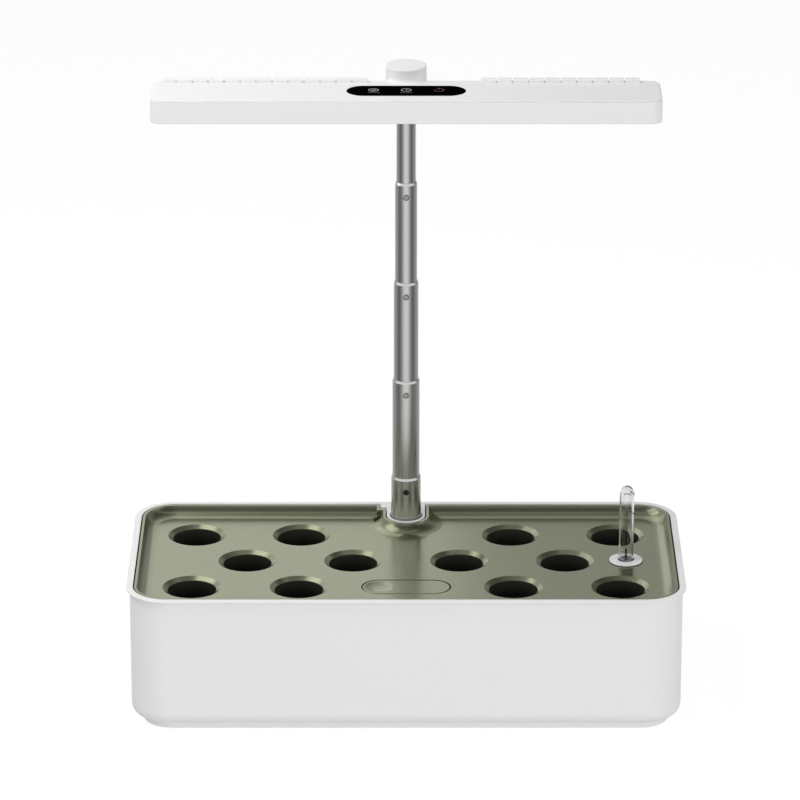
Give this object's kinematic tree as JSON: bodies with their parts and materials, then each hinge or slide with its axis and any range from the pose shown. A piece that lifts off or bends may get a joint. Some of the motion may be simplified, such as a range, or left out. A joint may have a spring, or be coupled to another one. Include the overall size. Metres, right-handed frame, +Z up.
{
  "type": "countertop hydroponic garden",
  "caption": "White water tank with a lift-out green planting deck, a tilting filler flap and a float gauge, under a grow lamp on a telescopic mast.",
  "frame": {"origin": "on the table, under the middle of the tank", "axes": "+X right along the tank, +Y to the back where the mast stands, +Z up"},
  "size_m": [0.37, 0.179, 0.417],
  "materials": {
    "white_plastic": "satin",
    "sage_finish": "satin",
    "aluminium_tube": "satin",
    "grey_plastic": "satin",
    "black_plastic": "satin",
    "clear_plastic": "gloss",
    "red_plastic": "gloss",
    "white_foam": "matte",
    "steel": "satin",
    "rubber": "matte",
    "black_gloss": "gloss",
    "diffuser_plastic": "matte",
    "aluminium_board": "matte",
    "led": "gloss",
    "circuit_board": "satin",
    "sponge": "matte"
  },
  "bodies": {
    "base": {"tank": "white_plastic", "base_cover": "white_plastic", "rubber_feet": "rubber", "base_screws": "steel", "mast_bush": "grey_plastic", "mast_plug": "black_plastic", "mast_screw": "steel", "mast_tube_1": "aluminium_tube", "dc_jack": "black_plastic", "power_board": "circuit_board", "pump_body": "black_plastic", "impeller_shaft": "steel", "pump_cover": "black_plastic", "intake_sponge": "sponge", "suction_cups": "rubber"},
    "impeller": {"pump_impeller": "grey_plastic"},
    "deck": {"deck": "sage_finish", "flap_pin": "steel", "gauge_body": "white_plastic", "gauge_tube": "clear_plastic"},
    "flap": {"filler_flap": "sage_finish"},
    "float": {"float_stem": "red_plastic", "float_block": "white_foam"},
    "stage_2": {"mast_tube_2": "aluminium_tube", "button_spring_1": "steel"},
    "stage_3": {"mast_tube_3": "aluminium_tube", "button_spring_2": "steel"},
    "stage_4": {"mast_tube_4": "aluminium_tube", "button_spring_3": "steel"},
    "lamp": {"mast_tube_5": "aluminium_tube", "button_spring_4": "steel", "lamp_tray": "white_plastic", "lamp_lid": "white_plastic", "mast_socket": "black_plastic", "mast_set_screw": "steel", "lamp_screws": "steel", "diffuser": "diffuser_plastic", "led_board": "aluminium_board", "led_chips": "led", "touch_panel": "black_gloss", "touch_board": "circuit_board"},
    "button_1": {"snap_button_1": "steel"},
    "button_2": {"snap_button_2": "steel"},
    "button_3": {"snap_button_3": "steel"},
    "button_4": {"snap_button_4": "steel"}
  },
  "joints": [
    {"name": "impeller_spin", "type": "hinge", "parent": "base", "child": "impeller", "pos_m": [-0.092, 0, 0.0259], "axis": [1, 0, 0], "continuous": true},
    {"name": "deck_lift", "type": "slide", "parent": "base", "child": "deck", "axis": [0, 0, 1], "range_m": [0, 0.06]},
    {"name": "flap_tilt", "type": "hinge", "parent": "deck", "child": "flap", "pos_m": [-0.011, -0.048, 0.0855], "axis": [0, -1, 0], "range_deg": [0, 40]},
    {"name": "float_rise", "type": "slide", "parent": "deck", "child": "float", "axis": [0, 0, 1], "range_m": [0, 0.042]},
    {"name": "mast_slide_1", "type": "slide", "parent": "base", "child": "stage_2", "axis": [0, 0, 1], "range_m": [-0.055, 0], "deforming": ["snap_button_1"]},
    {"name": "mast_slide_2", "type": "slide", "parent": "stage_2", "child": "stage_3", "axis": [0, 0, 1], "range_m": [-0.055, 0], "deforming": ["snap_button_2"]},
    {"name": "mast_slide_3", "type": "slide", "parent": "stage_3", "child": "stage_4", "axis": [0, 0, 1], "range_m": [-0.055, 0], "deforming": ["snap_button_3"]},
    {"name": "mast_slide_4", "type": "slide", "parent": "stage_4", "child": "lamp", "axis": [0, 0, 1], "range_m": [-0.049, 0], "deforming": ["snap_button_4"]},
    {"name": "button_press_1", "type": "slide", "parent": "stage_2", "child": "button_1", "axis": [0, 1, 0], "range_m": [0, 0.0018], "stiffness_N_per_m": 1200, "deforming": ["button_spring_1"]},
    {"name": "button_press_2", "type": "slide", "parent": "stage_3", "child": "button_2", "axis": [0, 1, 0], "range_m": [0, 0.0018], "stiffness_N_per_m": 1200, "deforming": ["button_spring_2"]},
    {"name": "button_press_3", "type": "slide", "parent": "stage_4", "child": "button_3", "axis": [0, 1, 0], "range_m": [0, 0.0018], "stiffness_N_per_m": 1200, "deforming": ["button_spring_3"]},
    {"name": "button_press_4", "type": "slide", "parent": "lamp", "child": "button_4", "axis": [0, 1, 0], "range_m": [0, 0.0018], "stiffness_N_per_m": 1200, "deforming": ["button_spring_4"]}
  ]
}
